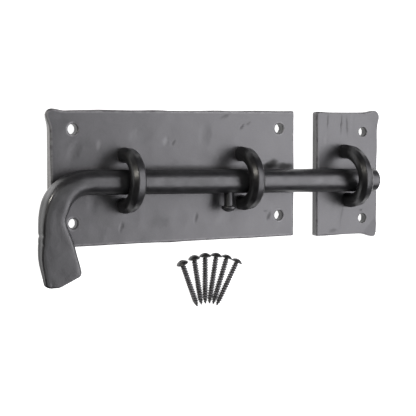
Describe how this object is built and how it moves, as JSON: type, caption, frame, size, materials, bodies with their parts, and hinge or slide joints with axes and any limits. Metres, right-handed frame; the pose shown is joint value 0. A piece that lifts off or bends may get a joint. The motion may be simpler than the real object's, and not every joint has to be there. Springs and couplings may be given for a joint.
{
  "type": "cabinet slide bolt",
  "caption": "Hand-forged slide bolt: a round bar with a flattened, bent-down handle runs through riveted staples on a flat plate into a staple on a separate keeper plate.",
  "frame": {"origin": "middle of the main plate's four screw holes, on the plane of both plates' backs", "axes": "+Z out of the door, square to the plates; +X the way the bolt shoots, along the row of holes; +Y up the door, away from the handle"},
  "size_m": [0.2312, 0.1151, 0.0324],
  "materials": {
    "plate_iron": "satin black on hammered iron",
    "bar_iron": "satin black on forged iron",
    "screw_iron": "satin black"
  },
  "bodies": {
    "plates": {"main_plate": "plate_iron", "keeper_plate": "plate_iron", "left_staple": "bar_iron", "right_staple": "bar_iron", "keeper_staple": "bar_iron", "screw_1": "screw_iron", "screw_2": "screw_iron", "screw_3": "screw_iron", "screw_4": "screw_iron", "screw_5": "screw_iron", "screw_6": "screw_iron"},
    "bolt": {"bolt": "bar_iron", "stop_pin": "bar_iron"}
  },
  "joints": [
    {"name": "bolt_slide", "type": "slide", "parent": "plates", "child": "bolt", "axis": [0.9999, -0.0148, 0], "range_m": [-0.0554, 0.0044]}
  ]
}
